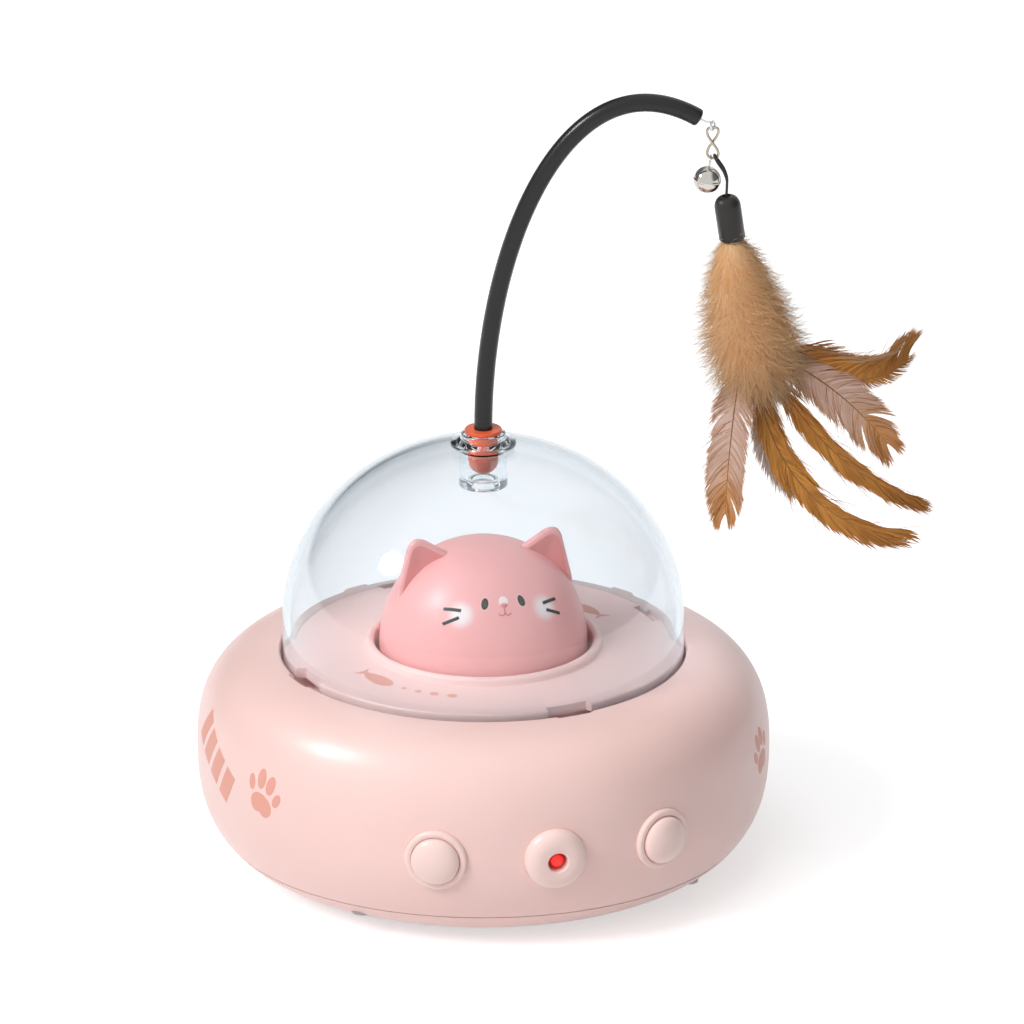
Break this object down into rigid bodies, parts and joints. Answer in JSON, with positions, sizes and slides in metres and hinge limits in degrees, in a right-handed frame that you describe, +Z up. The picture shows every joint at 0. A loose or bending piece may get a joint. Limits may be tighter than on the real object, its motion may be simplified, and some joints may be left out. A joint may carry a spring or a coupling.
{
  "type": "ufo cat teaser toy",
  "caption": "Saucer-shaped cat teaser: a motor turns a clear dome whose bent rod dangles a bell and feathers round a fixed cat head; front laser and push buttons.",
  "frame": {"origin": "middle of the bottom pad, on the floor, under the turntable's axis", "axes": "+Z up along the turntable's axis, -Y towards the front with the light and the buttons"},
  "size_m": [0.1886, 0.1535, 0.214],
  "materials": {
    "pink_shell": "satin moulded",
    "pink_disc": "satin moulded",
    "pink_trim": "satin moulded",
    "head_pink": "soft satin",
    "clear_plastic": "clear polished",
    "orange_rubber": "satin",
    "black_rubber": "satin",
    "grey_rubber": "matte",
    "steel": "bright",
    "nickel_wire": "bright",
    "chrome_bell": "polished",
    "brass": "satin",
    "red_lens": "clear red",
    "white_plastic": "satin",
    "black_plastic": "satin",
    "board_green": "solder mask",
    "battery_wrap": "shrink film",
    "black_cord": "waxed",
    "tan_fluff": "downy",
    "brown_feather": "barbed vane"
  },
  "bodies": {
    "base": {"upper_shell": "pink_shell", "base_cover": "pink_shell", "rubber_feet": "grey_rubber", "base_screws": "steel", "deck": "white_plastic", "deck_screws": "steel", "thrust_washer": "white_plastic", "post_clip": "steel", "cat_head": "head_pink", "motor": "steel", "gear_pin": "steel", "battery": "battery_wrap", "control_board": "board_green", "usb_port": "steel", "laser_bezel": "pink_trim", "laser_module": "brass", "laser_lens": "red_lens", "mode_bezel": "pink_trim", "power_bezel": "pink_trim", "mode_switch": "black_plastic", "power_switch": "black_plastic"},
    "mode_button": {"mode_button": "pink_trim"},
    "power_button": {"power_button": "pink_trim"},
    "pinion": {"motor_shaft": "steel", "motor_pinion": "brass"},
    "reduction": {"reduction_gear": "white_plastic"},
    "turntable": {"turntable": "pink_disc", "drive_gear": "white_plastic"},
    "dome": {"dome": "clear_plastic", "rod_socket": "clear_plastic"},
    "rod": {"rod_plug": "orange_rubber", "rod_sleeve": "black_rubber", "rod_wire": "steel"},
    "link": {"link": "nickel_wire"},
    "bell": {"bell": "chrome_bell", "bell_ball": "steel"},
    "lure": {"lure_cord": "black_cord", "feather_cap": "black_rubber", "fluff": "tan_fluff", "feather_1": "brown_feather", "feather_2": "brown_feather", "feather_3": "brown_feather", "feather_4": "brown_feather", "feather_5": "brown_feather", "feather_6": "brown_feather"}
  },
  "joints": [
    {"name": "turntable_spin", "type": "hinge", "parent": "base", "child": "turntable", "pos_m": [0, 0, 0.05], "axis": [0, 0, 1], "continuous": true},
    {"name": "reduction_spin", "type": "hinge", "parent": "base", "child": "reduction", "pos_m": [0.02631, 0.00958, 0.03], "axis": [0, 0, 1], "continuous": true},
    {"name": "pinion_spin", "type": "hinge", "parent": "base", "child": "pinion", "pos_m": [0.04736, 0.00192, 0.03], "axis": [0, 0, 1], "continuous": true},
    {"name": "dome_twist", "type": "hinge", "parent": "turntable", "child": "dome", "pos_m": [0, 0, 0.06], "axis": [0, 0, 1], "range_deg": [-16, 0]},
    {"name": "rod_swivel", "type": "hinge", "parent": "dome", "child": "rod", "pos_m": [0, 0, 0.115], "axis": [0, 0, 1], "range_deg": [-180, 180]},
    {"name": "link_swing", "type": "hinge", "parent": "rod", "child": "link", "pos_m": [0.05763, -0.01598, 0.2054], "axis": [0.7604, -0.6494, 0], "range_deg": [-50, 50]},
    {"name": "bell_swing", "type": "hinge", "parent": "link", "child": "bell", "pos_m": [0.05763, -0.01598, 0.19641], "axis": [0.9636, -0.2672, 0], "range_deg": [-40, 40]},
    {"name": "lure_swing", "type": "hinge", "parent": "link", "child": "lure", "pos_m": [0.05801, -0.01609, 0.19727], "axis": [0.2672, 0.9636, 0], "range_deg": [-50, 6]},
    {"name": "mode_press", "type": "slide", "parent": "base", "child": "mode_button", "axis": [0.4062, 0.9123, 0.0523], "range_m": [0, 0.0012], "stiffness_N_per_m": 400},
    {"name": "power_press", "type": "slide", "parent": "base", "child": "power_button", "axis": [-0.4062, 0.9123, 0.0523], "range_m": [0, 0.0012], "stiffness_N_per_m": 400}
  ],
  "couplings": [
    {"joint": "reduction_spin", "follows": "turntable_spin", "ratio": -4},
    {"joint": "pinion_spin", "follows": "turntable_spin", "ratio": 12}
  ]
}
